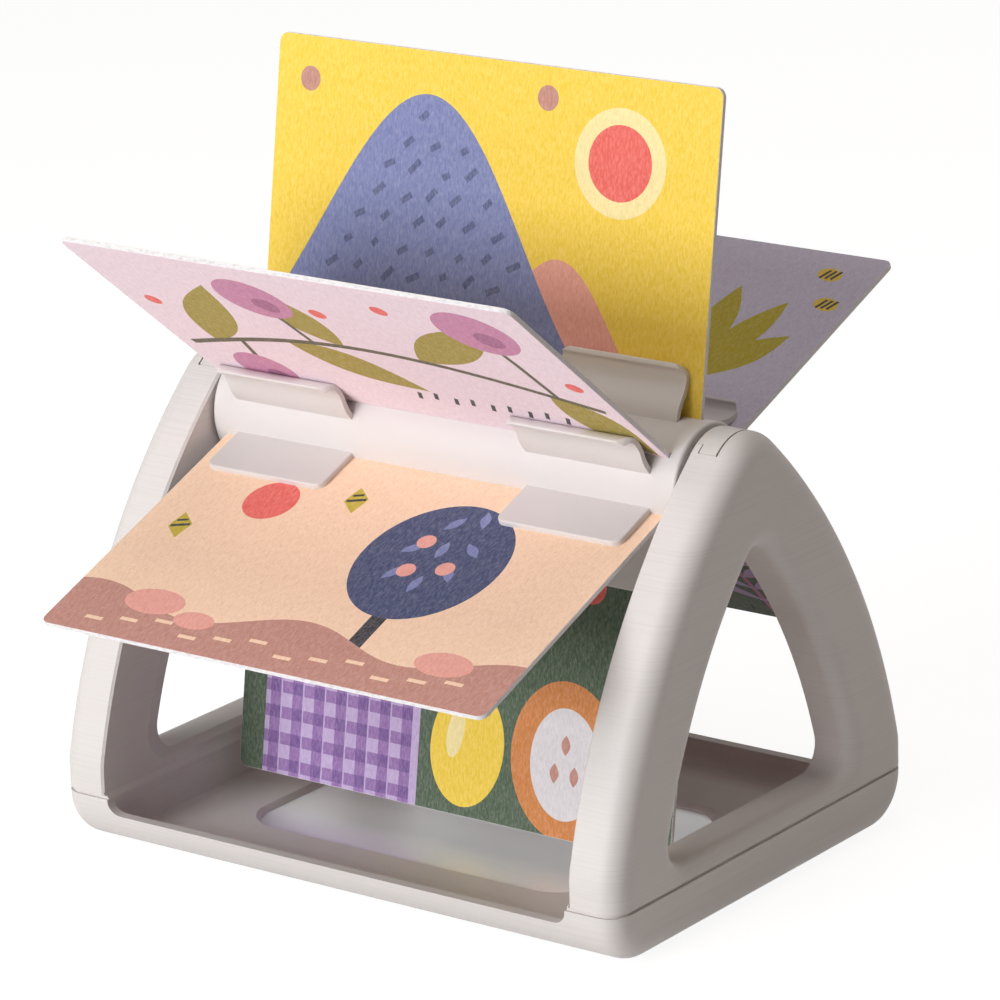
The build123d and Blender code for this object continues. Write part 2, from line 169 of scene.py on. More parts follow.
class PrintColours(bpy.types.PropertyGroup):
    """Inks of the printed sheets."""

    butter: colour("Butter", "FBD64A", "Yellow ground")
    cream: colour("Cream", "FCE9A8", "Pale yellow")
    periwinkle: colour("Periwinkle", "7D86B8", "Soft blue")
    slate: colour("Slate", "5B638F", "Darker blue of the dashes")
    rose: colour("Rose", "F3DFEA", "Pale pink ground")
    mauve: colour("Mauve", "CB86AB", "Pink purple")
    plum: colour("Plum", "A9648C", "Deeper pink purple")
    olive: colour("Olive", "A4912F", "Yellow green leaf")
    moss: colour("Moss", "5C5238", "Dark stem")
    peach: colour("Peach", "FFDABA", "Peach ground")
    blush: colour("Blush", "F0A99B", "Soft coral pink")
    clay: colour("Clay", "C68E80", "Brown pink hills")
    coral: colour("Coral", "EE6A60", "Warm red")
    navy: colour("Navy", "3D4870", "Dark blue")
    ink: colour("Ink", "27262E", "Near black")
    forest: colour("Forest", "52644F", "Dark green ground")
    sage: colour("Sage", "8FA286", "Grey green")
    amber: colour("Amber", "D88949", "Orange brown")
    mist: colour("Mist", "E6E0E5", "Pale grey")
    lilac: colour("Lilac", "C7B0DA", "Pale purple")
    violet: colour("Violet", "9A74B2", "Purple")
    grape: colour("Grape", "7E5A9C", "Deep purple")
    heather: colour("Heather", "E2D8EC", "Grey lilac ground")
    gold: colour("Gold", "C9B42C", "Green yellow")
    sky: colour("Sky", "A9BDD3", "Grey blue ground")


class StageLook(bpy.types.PropertyGroup):
    """Floor, light and camera."""

    floor: colour("Floor", "F0EFEE", "Pale floor")
    floor_half: length("Floor half width", 4000, "Middle of the floor to its edge")
    floor_white: bpy.props.FloatProperty(
        name="Floor white", description="Strength of the white that the camera and gloss see",
        default=1.28, min=0,
    )
    floor_share: bpy.props.FloatProperty(
        name="White share", description="Part of that white in the floor; the rest keeps the shadow",
        subtype="FACTOR", default=0.70, min=0, max=1,
    )
    key_power: power("Key light", 31.5, "Power of the low, wide lamp in front")
    side_power: power("Side light", 12.0, "Power of the lamp at the upper left")
    top_power: power("Top light", 9.5, "Power of the lamp overhead")
    back_power: power("Back light", 5.5, "Power of the warm lamp behind, at the right")
    room_strength: bpy.props.FloatProperty(
        name="Room light", description="Even light from all round", default=0.05, min=0
    )
    eye: position("Camera", (1.0202, -1.3446, 0.6390), "Place of the camera")
    aim: position("Aim", (0.00356, 0.00896, 0.11595), "Point that the camera looks at")
    roll: bpy.props.FloatProperty(
        name="Roll", description="Turn of the camera about its line of sight", subtype="ANGLE",
        default=math.radians(-1.8),
    )
    lens: bpy.props.FloatProperty(name="Lens", description="Focal length", unit="CAMERA", default=191.52)
    sensor: bpy.props.FloatProperty(name="Sensor", description="Sensor's width", unit="CAMERA", default=36.0)
    near: length("Near limit", 50, "Nearest that the camera sees")
    far: length("Far limit", 50000, "Farthest that the camera sees")


def add(tree, kind, sockets=None, stops=(), **settings):
    """Adds a node with its settings and a ramp's stops, and links or sets the sockets named."""
    made = tree.nodes.new(kind)
    for key, value in settings.items():
        setattr(made, key, value)
    for i, (value, tint) in enumerate(stops):
        made.color_ramp.elements[i].position = value
        made.color_ramp.elements[i].color = rgba(tint)
    for key, value in (sockets or {}).items():
        if isinstance(value, bpy.types.NodeSocket):
            tree.links.new(value, made.inputs[key])
        else:
            made.inputs[key].default_value = value
    return made


def rgba(value):
    """Colour with full alpha."""
    return (*value, 1.0)


def new_material(name):
    """Empty node material and its tree."""
    material = bpy.data.materials.new(name)
    material.use_nodes = True
    material.node_tree.nodes.clear()
    return material, material.node_tree


def finish_material(material, surface):
    """Sends a shader's first output to the surface."""
    add(material.node_tree, "ShaderNodeOutputMaterial", {"Surface": surface.outputs[0]})
    return material


def mottle(tree, place, cells, detail=2.0, rough=0.5, distortion=0.0):
    """Uneven pattern whose cells measure the three lengths given, in metres."""
    mapped = add(tree, "ShaderNodeMapping", {"Vector": place, "Scale": tuple(1 / c for c in cells)})
    pattern = add(
        tree, "ShaderNodeTexNoise",
        {"Vector": mapped.outputs[0], "Scale": 1.0, "Detail": detail, "Roughness": rough,
         "Distortion": distortion},
    )
    return pattern.outputs[0]


def moulded_shell(look):
    """Moulded ABS, satin: soft highlights, and faint level lines where the tool was cut in layers."""
    material, tree = new_material("moulded_abs_shell")
    place = add(tree, "ShaderNodeTexCoord").outputs["Object"]
    # A line is level and runs on for well over a hundred times its height
    line = look.layer_line
    lines = mottle(tree, place, (120 * line, 160 * line, line), detail=1.0)
    grain = mottle(tree, place, (look.grain,) * 3)
    tint = add(
        tree, "ShaderNodeValToRGB", {"Fac": lines}, stops=((0.30, look.shell_dark), (0.55, look.shell))
    )
    low = add(tree, "ShaderNodeMath", {0: grain, 1: 0.35, 2: lines}, operation="MULTIPLY_ADD")
    bump = add(tree, "ShaderNodeBump", {"Strength": 0.03, "Distance": 0.05 * MM, "Height": low.outputs[0]})
    rough = add(
        tree, "ShaderNodeMapRange",
        {"Value": grain, "From Min": 0.3, "From Max": 0.7, "To Min": 0.50, "To Max": 0.62},
    )
    surface = add(
        tree, "ShaderNodeBsdfPrincipled",
        {"Base Color": tint.outputs[0], "Roughness": rough.outputs[0], "IOR": 1.53,
         "Normal": bump.outputs[0]},
    )
    return finish_material(material, surface)


def moulded_drum(look):
    """Moulded ABS from a polished tool: smoother than the shell, so its highlights are tighter."""
    material, tree = new_material("moulded_abs_drum")
    place = add(tree, "ShaderNodeTexCoord").outputs["Object"]
    grain = mottle(tree, place, (look.grain,) * 3)
    flow = mottle(tree, place, (60 * MM, 20 * MM, 20 * MM), detail=1.0)
    tint = add(
        tree, "ShaderNodeValToRGB", {"Fac": flow}, stops=((0.32, look.drum_dark), (0.62, look.drum))
    )
    bump = add(tree, "ShaderNodeBump", {"Strength": 0.12, "Distance": 0.06 * MM, "Height": grain})
    rough = add(
        tree, "ShaderNodeMapRange",
        {"Value": grain, "From Min": 0.3, "From Max": 0.7, "To Min": 0.44, "To Max": 0.54},
    )
    surface = add(
        tree, "ShaderNodeBsdfPrincipled",
        {"Base Color": tint.outputs[0], "Roughness": rough.outputs[0], "IOR": 1.53,
         "Normal": bump.outputs[0]},
    )
    return finish_material(material, surface)


def silvered_sheet(look):
    """Silvered acrylic under its factory film: an even, milky grey that hardly shows what stands on it."""
    material, tree = new_material("silvered_acrylic_sheet")
    place = add(tree, "ShaderNodeTexCoord").outputs["Object"]
    haze = mottle(tree, place, (8 * MM,) * 3, detail=3.0)
    rough = add(
        tree, "ShaderNodeMapRange",
        {"Value": haze, "From Min": 0.3, "From Max": 0.7, "To Min": 0.38, "To Max": 0.44},
    )
    surface = add(
        tree, "ShaderNodeBsdfPrincipled",
        {"Base Color": rgba(look.mirror), "Metallic": 0.3, "Roughness": rough.outputs[0],
         "Coat Weight": 1.0, "Coat Roughness": 0.35, "Coat IOR": 1.7},
    )
    return finish_material(material, surface)


def zinc_plate(look):
    """Zinc-plated steel: grey metal, lightly streaked by turning."""
    material, tree = new_material("zinc_plated_steel")
    place = add(tree, "ShaderNodeTexCoord").outputs["Object"]
    streak = mottle(tree, place, (0.4 * MM, 2 * MM, 0.4 * MM), detail=3.0)
    rough = add(
        tree, "ShaderNodeMapRange",
        {"Value": streak, "From Min": 0.3, "From Max": 0.7, "To Min": 0.28, "To Max": 0.45},
    )
    bump = add(tree, "ShaderNodeBump", {"Strength": 0.15, "Distance": 0.04 * MM, "Height": streak})
    surface = add(
        tree, "ShaderNodeBsdfPrincipled",
        {"Base Color": rgba(look.zinc), "Metallic": 1.0, "Roughness": rough.outputs[0],
         "Normal": bump.outputs[0]},
    )
    return finish_material(material, surface)


def pulp_board(look):
    """White pulp board, die cut: matt, with grey plies and torn fibres on its edge."""
    material, tree = new_material("white_pulp_board")
    place = add(tree, "ShaderNodeTexCoord").outputs["Object"]
    fibre = mottle(tree, place, (2.0 * MM, 0.6 * MM, 0.6 * MM), rough=0.6)
    tint = add(
        tree, "ShaderNodeValToRGB", {"Fac": fibre}, stops=((0.30, look.board_dark), (0.55, look.board))
    )
    bump = add(tree, "ShaderNodeBump", {"Strength": 0.2, "Distance": 0.06 * MM, "Height": fibre})
    surface = add(
        tree, "ShaderNodeBsdfPrincipled",
        {"Base Color": tint.outputs[0], "Roughness": 0.85, "IOR": 1.47, "Normal": bump.outputs[0]},
    )
    return finish_material(material, surface)


def printed_felt(look):
    """Printed felt-look paper: flat ink broken by pale fibres, over soft wrinkles that run up the sheet, with
    painted shade in their troughs and painted highlight on their crests.
    """
    material, tree = new_material("printed_felt_paper")
    ink = add(tree, "ShaderNodeAttribute", attribute_name="ink").outputs["Color"]
    place = add(tree, "ShaderNodeUVMap", uv_map="sheet").outputs[0]
    wrinkle = mottle(tree, place, (look.wrinkle_width, look.wrinkle_length, 1.0), distortion=0.9)
    fibre = mottle(tree, place, (look.fibre, 3 * look.fibre, 1.0), rough=0.6)
    # Painted shade and highlight: the ink is darker in the wrinkles' troughs and lighter on their crests,
    # from the same noise that drives the bump
    painted_wrinkle_shade = add(
        tree, "ShaderNodeMapRange",
        {"Value": wrinkle, "From Min": 0.28, "From Max": 0.66, "To Min": 0.91, "To Max": 1.05},
    )
    wrinkle_shaded_ink = add(tree, "ShaderNodeVectorMath", {0: ink, 1: painted_wrinkle_shade.outputs[0]}, operation="MULTIPLY")
    worn = add(tree, "ShaderNodeMath", {0: fibre, 1: 0.45, 2: wrinkle}, operation="MULTIPLY_ADD")
    pale = add(
        tree, "ShaderNodeMapRange",
        {"Value": worn.outputs[0], "From Min": 0.62, "From Max": 1.0, "To Min": 0.0, "To Max": 0.13},
    )
    # A Mix node's sockets 6 and 7 are its two colours, and its output 2 is the mixed one
    tint = add(
        tree, "ShaderNodeMix",
        {0: pale.outputs[0], 6: wrinkle_shaded_ink.outputs[0], 7: rgba(look.board)}, data_type="RGBA",
    )
    bump = add(
        tree, "ShaderNodeBump",
        {"Strength": 0.6, "Distance": look.wrinkle_depth, "Height": worn.outputs[0]},
    )
    surface = add(
        tree, "ShaderNodeBsdfPrincipled",
        {"Base Color": tint.outputs[2], "Roughness": 0.8, "IOR": 1.45, "Sheen Weight": 0.08,
         "Sheen Roughness": 0.5, "Normal": bump.outputs[0]},
    )
    return finish_material(material, surface)


def dress(names, material):
    """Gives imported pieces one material."""
    for name in names:
        mesh = frame["nodes"][name].data
        mesh.materials.clear()
        mesh.materials.append(material)


def turned(x, y, turn, spots):
    """Points turned by an angle in degrees and moved to x, y."""
    c, s = math.cos(math.radians(turn)), math.sin(math.radians(turn))
    return [(x + c * a - s * b, y + s * a + c * b) for a, b in spots]


def oval(x, y, wide, high, turn=0.0):
    """Ellipse of two half sizes; a larger one has more points."""
    steps = 28 + 2 * round(max(wide, high))
    turns = [2 * math.pi * i / steps for i in range(steps)]
    return turned(x, y, turn, [(wide * math.cos(t), high * math.sin(t)) for t in turns])


def disc(x, y, radius):
    """Circle."""
    return oval(x, y, radius, radius)


def block(left, foot, right, top):
    """Upright rectangle."""
    return [(left, foot), (right, foot), (right, top), (left, top)]


def bar(x, y, long, thick, turn):
    """Short straight stroke."""
    return turned(x, y, turn, block(-long / 2, -thick / 2, long / 2, thick / 2))


def leaf(x, y, long, thick, turn, blunt=1.0, steps=16):
    """Pointed leaf that starts at x, y; with blunt over 1 it is widest nearer its tip."""
    swell = [(i / steps, math.sin(math.pi * (i / steps) ** blunt)) for i in range(steps + 1)]
    upper = [(long * t, thick / 2 * w) for t, w in swell]
    lower = [(long * t, -thick / 2 * w) for t, w in swell[1:-1]]
    return turned(x, y, turn, lower + upper[::-1])


def stroke(spots, thick):
    """Band of even width along a line of points."""
    left, right = [], []
    for i, spot in enumerate(spots):
        before, after = Vector(spots[max(i - 1, 0)]), Vector(spots[min(i + 1, len(spots) - 1)])
        along = (after - before).normalized()
        side = Vector((-along.y, along.x)) * thick / 2
        left.append(tuple(Vector(spot) + side))
        right.append(tuple(Vector(spot) - side))
    return right + left[::-1]


def wavy(level, swing, waves, shift, steps=80):
    """Line that rises and falls evenly, from past one edge of the sheet to past the other."""
    start, across = -PICTURE_HALF - PRINT_OVERLAP, 2 * (PICTURE_HALF + PRINT_OVERLAP)
    parts = [i / steps for i in range(steps + 1)]
    return [(start + across * t, level + swing * math.sin(2 * math.pi * (waves * t + shift))) for t in parts]


def ground(line):
    """Field below a line across the sheet."""
    return [(line[0][0], PRINT_FOOT), (line[-1][0], PRINT_FOOT)] + line[::-1]


def half_ring(x, y, outer, inner, steps=40):
    """Arch of two radii that stands on a level line."""
    turns = [math.pi * i / steps for i in range(steps + 1)]
    over = [(x + outer * math.cos(t), y + outer * math.sin(t)) for t in turns]
    under = [(x + inner * math.cos(t), y + inner * math.sin(t)) for t in reversed(turns)]
    return over + under


def kite(x, y, wide, high, turn):
    """Diamond of two half sizes."""
    return turned(x, y, turn, ((wide, 0), (0, high), (-wide, 0), (0, -high)))


def rise(x, middle, wide, high):
    """Height at x of a bell-shaped hill."""
    return high * math.cos(math.pi / 2 * min(1, abs(x - middle) / wide)) ** 2


def hill(middle, wide, high, steps=90):
    """Bell-shaped hill that stands on the sheet's foot."""
    across = [middle - wide + 2 * wide * i / steps for i in range(steps + 1)]
    return ground([(x, rise(x, middle, wide, high)) for x in across])


def gingham(left, right, top):
    """Checked cloth: upright bands, bands across and their darker crossings."""
    margin, pitch, band = 2.0, 9.4, 4.4
    first_row, row_pitch, row_height = 1.5, 9.0, 4.2
    bands = [left + margin + pitch * i for i in range(7)]
    shapes = [("lilac", block(left, PRINT_FOOT, right, top))]
    shapes += [("violet", block(x, PRINT_FOOT, x + band, top)) for x in bands]
    for row in range(5):
        low = first_row + row_pitch * row
        high = min(low + row_height, top)
        for x in bands:
            shapes.append(("violet", block(max(x - band, left), low, x, high)))
            shapes.append(("grape", block(x, low, x + band, high)))
    return shapes


# Pictures: inks and outlines from the ground up; the ground has no outline of its own


def hills_and_sun():
    """Dashed blue hill before a blush one, under a coral sun."""
    chance = random.Random(4)
    blue_hill = -26, 84, 92
    shapes = [("butter", None), ("cream", disc(52, 78, 18)), ("coral", disc(52, 78, 12.5))]
    shapes += [("blush", hill(30, 46, 44)), ("periwinkle", hill(*blue_hill))]
    for row in range(10):
        for column in range(15):
            x = -92 + 11.5 * column + 5.5 * (row % 2) + chance.uniform(-1.6, 1.6)
            y = 6 + 8.6 * row + chance.uniform(-1.4, 1.4)
            # A dash is drawn only where the hill covers it with some room to spare
            if y + 5 < min(rise(x - 4, *blue_hill), rise(x + 4, *blue_hill)):
                long = chance.uniform(3.0, 6.2)
                shapes.append(("slate", bar(x, y, long, 2.2, 35 + chance.uniform(-12, 12))))
    shapes += [("clay", disc(x, y, 4.2)) for x, y in ((-76, 92), (22, 96))]
    return shapes


def berry_spray():
    """Bowed branch with broad olive leaves and three large mauve berries."""

    def bow(x):
        """Height of the branch at x."""
        return 30 + 22 * math.sin(math.pi * (x + 90) / 180)

    shapes = [("rose", None)]
    for x, long, turn in ((-70, 56, 62), (-34, 50, -30), (22, 60, 38), (66, 44, -62), (-8, 46, 112)):
        shapes.append(("olive", leaf(x, bow(x), long, 19, turn, 0.85)))
    for x, y, size in ((-26, 82, 14), (64, 84, 15), (-62, 18, 12)):
        start = bow(x + 5)
        shapes.append(("moss", stroke([(x + 5, start), (x + 3, (start + y) / 2), (x, y)], 2.0)))
        shapes += [("mauve", disc(x, y, size)), ("plum", disc(x + 3, y - 4, size * 0.36))]
    shapes.append(("moss", stroke([(x, bow(x)) for x in range(-84, 85, 4)], 2.8)))
    shapes += [("ink", bar(2 + 7.4 * i, 18 + 1.5 * (i % 2), 6.0, 1.5, 66)) for i in range(9)]
    shapes += [("coral", disc(x, y, 3.2)) for x, y in ((-2, 78), (30, 90), (-78, 66), (82, 50))]
    return shapes


def tree_on_hills():
    """Navy round tree on brown hills beside a coral sun."""
    shapes = [("peach", None), ("coral", disc(-50, 78, 10))]
    shapes += [("ink", stroke([(26, 14), (26, 34), (25, 52)], 6)), ("navy", oval(26, 64, 27, 30))]
    for x, y, turn in (
        (14, 52, 60), (27, 48, 85), (38, 56, 120), (12, 66, 40),
        (26, 66, 90), (40, 70, 140), (20, 80, 60), (33, 84, 110),
    ):
        shapes.append(("periwinkle", leaf(x, y, 9, 3.6, turn)))
    shapes += [("blush", disc(x, y, 3.4)) for x, y in ((33, 62), (18, 73), (20, 58))]
    shapes.append(("clay", ground(wavy(20, 5.5, 2.2, 0.1))))
    for x, y, wide in ((-56, 20, 12), (-36, 15, 8), (62, 19, 11)):
        shapes.append(("blush", oval(x, y, wide, wide * 0.52)))
    shapes += [("peach", bar(-72 + 13 * i, 7 + (i % 3) * 2.4, 7, 1.6, 0)) for i in range(12)]
    for x, y in ((-20, 86), (-74, 58)):
        shapes += [("gold", kite(x, y, 4.4, 7, 20)), ("ink", bar(x, y, 7, 1.3, 20))]
        shapes.append(("ink", bar(x - 0.8, y + 2.6, 4, 1.1, 20)))
    return shapes


def picnic():
    """Checked cloth, a lemon and cut fruit on a dark green ground."""
    shapes = [("forest", None)] + gingham(-80, -14, 40)
    shapes += [("butter", oval(6, 24, 15, 21, -8)), ("butter", leaf(8, 42, 10, 6, 96))]
    shapes.append(("cream", oval(1, 28, 3.4, 9, -10)))
    for x, y, size in ((46, 26, 1.0), (-52, 72, 0.85)):
        shapes.append(("amber", oval(x, y, 22 * size, 27 * size)))
        shapes.append(("mist", oval(x, y - 1, 14 * size, 19 * size)))
        for a, b in ((-4, -8), (4, -8), (0, 2)):
            shapes.append(("clay", leaf(x + a * size, y + b * size, 7 * size, 3.6 * size, 90)))
    shapes += [("peach", disc(76, 12, 8)), ("sage", leaf(20, 60, 30, 12, 40))]
    shapes += [("sage", leaf(16, 62, 28, 11, 110)), ("peach", disc(-4, 80, 5))]
    shapes += [("sage", leaf(70, 66, 26, 10, 80)), ("coral", disc(52, 86, 6))]
    return shapes


def fern():
    """Lilac fern fronds and black strokes on a green ground."""
    shapes = [("forest", None)]
    for foot, lean in ((-58, 0.16), (0, -0.1), (56, 0.12)):
        shapes.append(("mauve", stroke([(foot + lean * y, y) for y in range(6, 92, 6)], 2.0)))
        for i in range(7):
            y = 16 + 11 * i
            long = 26 - 2.4 * i
            shapes.append(("lilac", leaf(foot + lean * y, y, long, 6.5, 38)))
            shapes.append(("lilac", leaf(foot + lean * y, y, long, 6.5, 142)))
    shapes += [("ink", bar(-84 + 12 * i, 5 + 2 * (i % 2), 5, 1.3, 70)) for i in range(15)]
    return shapes


def gold_tuft():
    """Two tufts of rounded gold leaves, and striped pebbles, on grey lilac."""
    shapes = [("heather", None)]
    for foot, top in ((-40, 1.0), (52, 0.9)):
        for turn, long in ((52, 46), (74, 58), (98, 62), (122, 54), (144, 42)):
            shapes.append(("gold", leaf(foot, 26, long * top, 13, turn, 1.25)))
        shapes.append(("olive", oval(foot, 25, 8, 6)))
    for x, y in ((80, 78), (72, 94), (-4, 34)):
        shapes.append(("butter", oval(x, y, 5, 3.4, -15)))
        shapes += [("ink", bar(x + d, y, 5.2, 1.1, 68)) for d in (-1.8, 0.4, 2.6)]
    return shapes


def clouds():
    """Pale clouds and sun spots on grey blue."""
    shapes = [("sky", None)]
    for x, y, size in ((-50, 70, 1.0), (34, 80, 0.8), (10, 34, 1.15), (-70, 26, 0.7), (74, 40, 0.75)):
        for a, b, radius in ((-14, 0, 8), (-3, 5, 11), (10, 2, 9), (18, -2, 6)):
            shapes.append(("mist", disc(x + a * size, y + b * size, radius * size)))
        shapes.append(("mist", bar(x + 2 * size, y - 4.6 * size, 32 * size, 8 * size, 0)))
    for x, y, radius in ((-16, 88, 7), (66, 92, 5), (-84, 90, 4), (52, 14, 5)):
        shapes.append(("butter", disc(x, y, radius)))
    return shapes


def bunting():
    """Strings of coral, blue and olive pennants on cream."""
    shapes = [("cream", None)]
    for level, first in ((84, 0), (54, 1), (24, 0)):
        line = wavy(level, 3.5, 1.5, 0.25 * first)
        for i in range(6):
            x, y = line[8 + 12 * i]
            tint = ("coral", "periwinkle", "olive")[(i + first) % 3]
            shapes.append((tint, [(x - 9, y), (x, y - 19), (x + 9, y)]))
        shapes.append(("navy", stroke(line, 1.8)))
    return shapes


def orchard():
    """Rows of round fruit with leaves on sage."""
    shapes = [("sage", None)]
    for row in range(3):
        for column in range(5):
            x, y = -70 + 35 * column + 8 * (row % 2), 20 + 33 * row
            shapes.append(("peach" if (row + column) % 2 else "blush", oval(x, y, 11, 10)))
            shapes.append(("moss", bar(x, y + 11, 7, 1.6, 80)))
            shapes.append(("forest", leaf(x + 1, y + 11, 13, 6, 30)))
    return shapes


def arches():
    """Nested arches on a blush ground."""
    shapes = [("blush", None)]
    for x, size in ((-46, 1.0), (44, 0.8)):
        for step, tint in enumerate(("navy", "butter", "coral", "rose")):
            outer = (40 - 9 * step) * size
            shapes.append((tint, half_ring(x, 24, outer, outer - 7 * size)))
    for x, y in ((0, 84), (-84, 74), (84, 80), (2, 40), (-6, 12), (84, 12)):
        shapes.append(("rose", disc(x, y, 3)))
    return shapes


def waves():
    """Bands of water under a low sun."""
    shapes = [("sky", None), ("butter", disc(34, 66, 16))]
    for step, tint in enumerate(("periwinkle", "slate", "navy")):
        shapes.append((tint, ground(wavy(54 - 19 * step, 4.5, 2.5 + 0.5 * step, 0.2 * step))))
    shapes += [("mist", bar(-66 + 22 * i, 28 + 12 * (i % 2), 11, 1.8, 0)) for i in range(7)]
    return shapes


def scattered_leaves():
    """Scattered mauve, olive and clay leaves on peach."""
    chance = random.Random(11)
    shapes = [("peach", None)]
    for row in range(4):
        for column in range(7):
            x, y = -78 + 25 * column + 10 * (row % 2), 14 + 24 * row
            turn = chance.uniform(0, 360)
            start = (x - 9 * math.cos(math.radians(turn)), y - 9 * math.sin(math.radians(turn)))
            shapes.append((("mauve", "olive", "clay")[(row + column) % 3], leaf(*start, 18, 8, turn)))
    return shapes


# Each card's leading picture, its foot at the drum, and its trailing one, its foot at the outer edge
PICTURES = (
    (hills_and_sun, clouds),
    (berry_spray, bunting),
    (orchard, tree_on_hills),
    (arches, picnic),
    (waves, fern),
    (gold_tuft, scattered_leaves),
)


def sheet_outline(look, leading):
    """Outline of a printed sheet: round at the card's outer edge, tucked in the drum's slot at the other."""
    inset, radius = look.sheet_inset / MM, (look.corner - look.sheet_inset) / MM
    half, top, tuck = PICTURE_HALF - inset, PICTURE_HIGH - inset, -look.sheet_tuck / MM
    steps = 10
    turns = [math.pi / 2 * i / steps for i in range(steps + 1)]
    right = [(half - radius + radius * math.cos(t), top - radius + radius * math.sin(t)) for t in turns]
    left = [(-x, y) for x, y in reversed(right)]
    spots = [(-half, tuck), (half, tuck)] + right + left
    return spots if leading else [(-x, PICTURE_HIGH - y) for x, y in spots]


def counter_clockwise(spots):
    """The same polygon, turned the usual way round."""
    area = sum(a[0] * b[1] - b[0] * a[1] for a, b in zip(spots, spots[1:] + spots[:1]))
    return spots if area > 0 else spots[::-1]


def cut_picture(shapes, outline):
    """Cuts a sheet along its shapes: points, triangles and each triangle's ink, the last shape on top."""
    spots, faces = [], []
    for _, polygon in shapes:
        polygon = counter_clockwise(polygon or outline)
        faces.append(list(range(len(spots), len(spots) + len(polygon))))
        spots += [Vector(p) for p in polygon]
    every_triangle, merge_distance = 0, 1e-4
    points, _, triangles, _, _, owners = delaunay_2d_cdt(spots, [], faces, every_triangle, merge_distance)
    kept = [(t, max(o)) for t, o in zip(triangles, owners) if 0 in o]
    return points, [t for t, _ in kept], [shapes[o][0] for _, o in kept]


def on_card(card, leading, spot, height):
    """Place of a print's point on one face of a card, at a height over the board."""
    turn = CARD_TURN + CARD_PITCH * card
    reach = Vector((0, math.cos(turn), math.sin(turn)))
    out = Vector((0, -math.sin(turn), math.cos(turn))) * (1 if leading else -1)
    along = DRUM_RADIUS + spot.y * MM if leading else CARD_REACH - spot.y * MM
    return AXIS + Vector((spot.x * MM, 0, 0)) + reach * along + out * (CARD_THICKNESS / 2 + height)


def side_walls(faces, names, count):
    """Walls from a sheet's open edges to its underside, whose points follow count later, and their inks."""
    edges = {}
    for face, ink in zip(faces, names):
        for a, b in zip(face, face[1:] + face[:1]):
            edges[(a, b)] = ink
    rim = [(a, b) for a, b in edges if (b, a) not in edges]
    return [(a, a + count, b + count, b) for a, b in rim], [edges[edge] for edge in rim]


def picture_sheet(name, card, leading, shapes, look, inks):
    """Thin closed sheet on one face of a card, coloured by its cut shapes."""
    points, triangles, names = cut_picture(shapes, sheet_outline(look, leading))
    used = sorted({i for t in triangles for i in t})
    shift = {old: new for new, old in enumerate(used)}
    count = len(used)
    tops = [on_card(card, leading, points[i], look.sheet_thickness) for i in used]
    feet = [on_card(card, leading, points[i], -look.sheet_bedding) for i in used]
    faces = [[shift[i] for i in t] for t in triangles]
    under = [[i + count for i in reversed(face)] for face in faces]
    walls, wall_names = side_walls(faces, names, count)
    mesh = bpy.data.meshes.new(name)
    mesh.from_pydata(tops + feet, [], faces + under + walls)
    tints = [rgba(getattr(inks, ink)) for ink in names + names + wall_names]
    layer = mesh.attributes.new("ink", "FLOAT_COLOR", "CORNER")
    corners = [c for polygon, tint in zip(mesh.polygons, tints) for _ in polygon.loop_indices for c in tint]
    layer.data.foreach_set("color", corners)
    flat = [(points[i].x * MM, points[i].y * MM) for i in used] * 2
    across = mesh.uv_layers.new(name="sheet")
    across.data.foreach_set("uv", [c for loop in mesh.loops for c in flat[loop.vertex_index]])
    mesh.update()
    piece = bpy.data.objects.new(name, mesh)
    bpy.context.scene.collection.objects.link(piece)
    return piece


class BOOK_OT_dress_stand(bpy.types.Operator):
    """Finish the frames, caps, tray and cover"""

    bl_idname = "card_book.dress_stand"
    bl_label = "Dress the stand"

    def execute(self, context):
        dress(SHELL_NODES, moulded_shell(context.scene.card_book_stand))
        return {"FINISHED"}


class BOOK_OT_dress_drum(bpy.types.Operator):
    """Finish the drum, its clips and its two ends"""

    bl_idname = "card_book.dress_drum"
    bl_label = "Dress the drum"

    def execute(self, context):
        dress(DRUM_NODES, moulded_drum(context.scene.card_book_stand))
        return {"FINISHED"}


class BOOK_OT_dress_mirror(bpy.types.Operator):
    """Silver the sheet in the tray's floor"""

    bl_idname = "card_book.dress_mirror"
    bl_label = "Silver the mirror"

    def execute(self, context):
        dress(("mirror_panel",), silvered_sheet(context.scene.card_book_stand))
        return {"FINISHED"}


def lifted(tree, shape, height):
    """Shape moved up by a height in a node tree."""
    up = add(tree, "ShaderNodeCombineXYZ", {"Z": height})
    return add(tree, "GeometryNodeTransform", {"Geometry": shape, "Translation": up.outputs[0]}).outputs[0]


